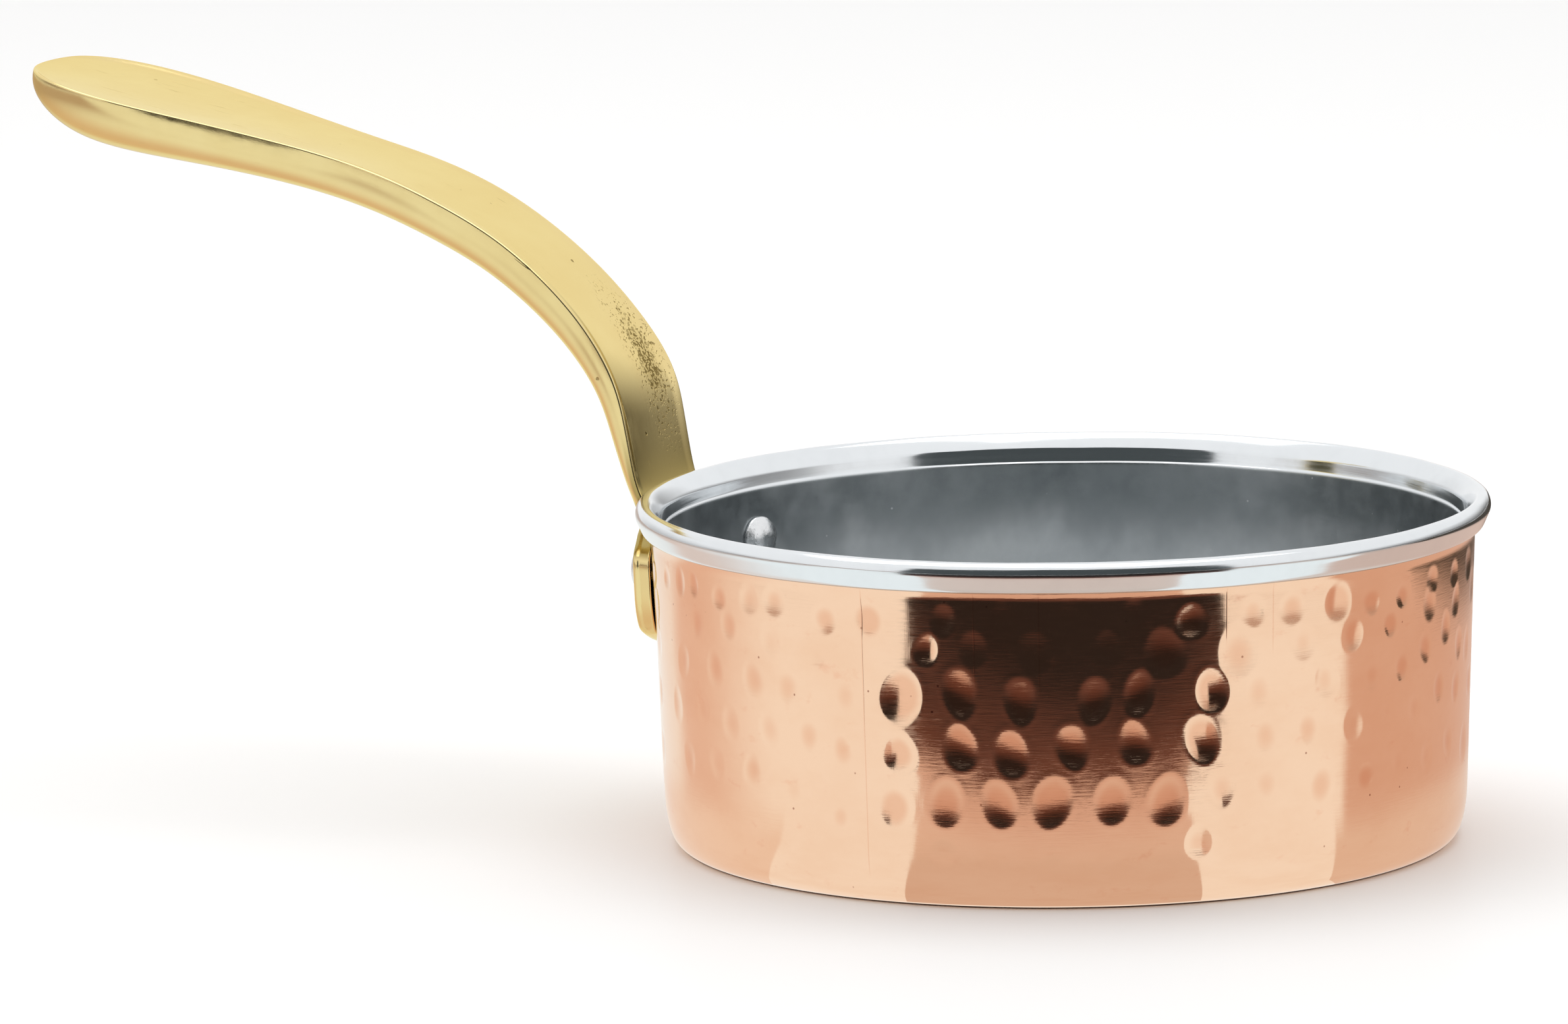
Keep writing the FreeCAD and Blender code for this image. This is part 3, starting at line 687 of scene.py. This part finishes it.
floor = flat_piece("floor", [(-9000, 9000), (9000, 9000), (9000, -9000), (-9000, -9000)], 0.0)
floor_mat, _, _, floor_shader = material("pale floor", 0.0, (0.90, 0.895, 0.89), 0.4)
floor_shader.inputs["Specular IOR Level"].default_value = 0.02
floor.data.materials.append(floor_mat)


def reflected(name, corners, height, near, far=None, span=None, fade=True, under=None,
              past=None):
    """Card lying on the floor that only polished metal sees, from above. The colour goes
    from near to far as span's measure goes from its start to its stop: ("along", x, y) is
    the distance in mm towards x across and y in front, ("turn", sign, across, towards) is
    how far forward a place lies for each mm to that side of a point by the pan's wall.
    fade darkens it with the distance from the pan, a painted darkening of the reflection, and
    under is its colour close to the pan, a painted shadow of the pan in the reflection.
    past is a second change of colour further along the same measure."""
    # painted reflection: the card glows, and only glossy rays see it
    card = flat_piece(name, corners, height)
    mat = bpy.data.materials.new(name)
    mat.use_nodes = True
    p = Paint(mat.node_tree.nodes, mat.node_tree.links)
    glow = p.nodes.new("ShaderNodeEmission")

    def along(axis):
        node = p.nodes.new("ShaderNodeVectorMath")
        node.operation = "DOT_PRODUCT"
        p.links.new(p.place, node.inputs[0])
        node.inputs[1].default_value = tuple(axis * 1000.0)
        return node.outputs["Value"]

    color = near
    measure = p.nodes.new("ShaderNodeVectorMath")
    measure.operation = "LENGTH"
    p.links.new(p.place, measure.inputs[0])
    distance = measure.outputs["Value"]
    if span is not None:
        start, stop = span[-2:]
        if span[0] == "turn":
            _, sign, across, towards = span[:4]
            out = p.math("MULTIPLY", p.math("SUBTRACT", along(side), across), float(sign))
            value = p.math("DIVIDE", p.math("SUBTRACT", along(front), towards),
                           p.math("MAXIMUM", out, 4.0))
        else:
            value = along(side * span[1] + front * span[2])
        color = p.mix(p.span(value, start, stop), near, far)
        if past is not None:
            color = p.mix(p.span(value, *past[:2]), color, past[2])
    # painted shade: the reflection darkens away from the pan
    if fade:
        # but not out to the left in front, where the side of the handle looks
        lean = p.math("DIVIDE", along(front),
                      p.math("MAXIMUM", p.math("MULTIPLY", along(side), -1.0), 1.0))
        lit = p.math("MULTIPLY", p.span(lean, 0.35, 0.55), p.span(along(side), -10.0, -50.0))
        dim = p.span(distance, 0.24, 0.75)
        dim = p.math("MULTIPLY", dim, p.math("SUBTRACT", 1.0, lit))
        color = p.mix(dim, color, (0.58, 0.47, 0.41))
    # painted shadow of the pan in the reflection
    if under is not None:
        color = p.mix(p.span(distance, 0.125, 0.092), color, under)
    p.put(color if fade or span or under else (*color, 1), glow.inputs["Color"])
    clear = p.nodes.new("ShaderNodeBsdfTransparent")
    side_seen = p.nodes.new("ShaderNodeNewGeometry").outputs["Backfacing"]
    either = p.nodes.new("ShaderNodeMixShader")
    p.links.new(side_seen, either.inputs[0])
    p.links.new(glow.outputs[0], either.inputs[1])
    p.links.new(clear.outputs[0], either.inputs[2])
    p.links.new(either.outputs[0], p.nodes["Material Output"].inputs["Surface"])
    card.data.materials.append(mat)
    card.visible_camera = False
    card.visible_diffuse = False
    card.visible_shadow = False
    card.visible_transmission = False
    return card


# painted reflection of what the copper shows of the table: a glowing bright sheet, shaded in
# front of the pan and towards the back at both sides, and the dark room past the sheet's
# front edge and far off at the back on the right
BRIGHT = (1.0, 1.04, 1.03)
reflected("table_reflection", [(-2500, -2500), (2500, -2500), (2500, 2500), (-2500, 2500)], 0.3,
          BRIGHT)
reflected("shaded_right", [(46, -2500), (2500, -2500), (2500, 420), (46, 52)], 0.4,
          BRIGHT, (0.74, 0.54, 0.45), ("turn", 1, 45, 52, 0.11, 0.02), True, (0.82, 0.70, 0.62))
reflected("shaded_left", [(-48, 45), (-2500, 420), (-2500, -2500), (-48, -2500)], 0.5,
          BRIGHT, (0.85, 0.68, 0.59), ("turn", -1, -50, 45, 0.14, -0.8), True, (0.92, 0.84, 0.77),
          (-1.0, -1.5, (0.95, 0.96, 0.93)))
reflected("shaded_front", [(-25.3, 60), (20, 60), (76, 146), (-96, 146)], 0.6,
          (0.84, 0.70, 0.62), (0.72, 0.53, 0.45), ("along", 0, 1, 90.0, 135.0), False,
          (0.74, 0.61, 0.53))
reflected("dark_room_reflection", [(-107, 146), (107, 146), (961, 1000), (1500, 2500), (-1500, 2500),
                        (-961, 1000)], 0.7,
          (0.150, 0.070, 0.054), (0.027, 0.021, 0.019), ("along", 0, 1, 150.0, 232.0), False)
reflected("dark_back_reflection", [(50, -235), (530, -2500), (2500, -2500), (2500, -460), (260, -60)],
          0.8, (0.74, 0.54, 0.45), (0.07, 0.06, 0.05), ("along", 0.7, -0.7, 205.0, 330.0),
          False)

world = bpy.data.worlds.new("studio")
bpy.context.scene.world = world
world.use_nodes = True
w_nodes, w_links = world.node_tree.nodes, world.node_tree.links
w = Paint.__new__(Paint)
w.nodes, w.links = w_nodes, w_links
ray = w_nodes.new("ShaderNodeTexCoord").outputs["Generated"]


def dot(vector, axis):
    node = w_nodes.new("ShaderNodeVectorMath")
    node.operation = "DOT_PRODUCT"
    w_links.new(vector, node.inputs[0])
    node.inputs[1].default_value = tuple(axis)
    return node.outputs["Value"]


ahead, across, above = dot(ray, front), dot(ray, side), dot(ray, (0, 0, 1))
wide = w.math("DIVIDE", w.math("ABSOLUTE", across), w.math("MAXIMUM", ahead, 0.001))
tall = w.math("DIVIDE", above, w.math("MAXIMUM", ahead, 0.001))
gap = w.math("MULTIPLY", w.span(wide, 1.02, 0.98), w.span(tall, 1.0, 0.93))
gap = w.math("MULTIPLY", gap, w.span(ahead, 0.0, 0.02))
low_gap = w.math("MULTIPLY", w.span(above, 0.10, 0.06), w.span(ahead, -0.5, -0.1))
sky = w.mix(w.span(above, 0.0, 0.9), (1.0, 1.0, 1.0), (1.04, 1.04, 1.04))
sky = w.mix(w.math("MULTIPLY", low_gap, 0.9), sky, (0.42, 0.34, 0.30))
# past the ends of the backdrop the room is dark near the horizon
round_back = w.math("ARCTAN2", across, w.math("MULTIPLY", ahead, -1.0))
rise = w.math("POWER", w.span(above, 0.0, 0.28, smooth=False), 0.85)
room = w.mix(rise, (0.05, 0.045, 0.04), (1.02, 1.02, 1.02))
ends = w.math("MULTIPLY", w.span(round_back, 0.16, 0.36), w.span(round_back, 2.0, 1.6))
left_end = w.math("MULTIPLY", w.span(round_back, -0.3, -0.7), w.span(round_back, -1.9, -1.5))
ends = w.math("MAXIMUM", ends, w.math("MULTIPLY", left_end, 0.45))
sky = w.mix(ends, sky, room)
back = w_nodes["Background"]
w_links.new(w.mix(gap, sky, (0.070, 0.080, 0.082)), back.inputs["Color"])
back.inputs["Strength"].default_value = 1.0

lamp_data = bpy.data.lights.new("overhead", "AREA")
lamp_data.shape = "RECTANGLE"
lamp_data.size, lamp_data.size_y = 1.6, 1.2
lamp_data.energy = 9.0
lamp = bpy.data.objects.new("overhead", lamp_data)
lamp.location = (-0.2, 0.1, 1.5)
bpy.context.scene.collection.objects.link(lamp)

# --------------------------------------------------------------------- camera
eye = bpy.data.cameras.new("camera")
eye.sensor_width = 36.0
eye.lens = 262.0
eye.clip_start, eye.clip_end = 0.05, 50
camera = bpy.data.objects.new("camera", eye)
bpy.context.scene.collection.objects.link(camera)
yaw, pitch, roll = (math.radians(a) for a in (-1.416, 9.10, -0.892))
look = Vector((math.sin(yaw) * math.cos(pitch), math.cos(yaw) * math.cos(pitch), -math.sin(pitch)))
right = Vector((math.cos(yaw), -math.sin(yaw), 0))
up = right.cross(look)
right, up = (right * math.cos(roll) + up * math.sin(roll),
             up * math.cos(roll) - right * math.sin(roll))
turn = Matrix.Rotation(math.radians(VIEW), 4, "Z")
pose = Matrix((right, up, -look)).transposed().to_4x4()
camera.matrix_world = turn @ Matrix.Translation((0, -1.97478, 0.37456)) @ pose
bpy.context.scene.camera = camera
bpy.context.scene.view_settings.view_transform = "Standard"
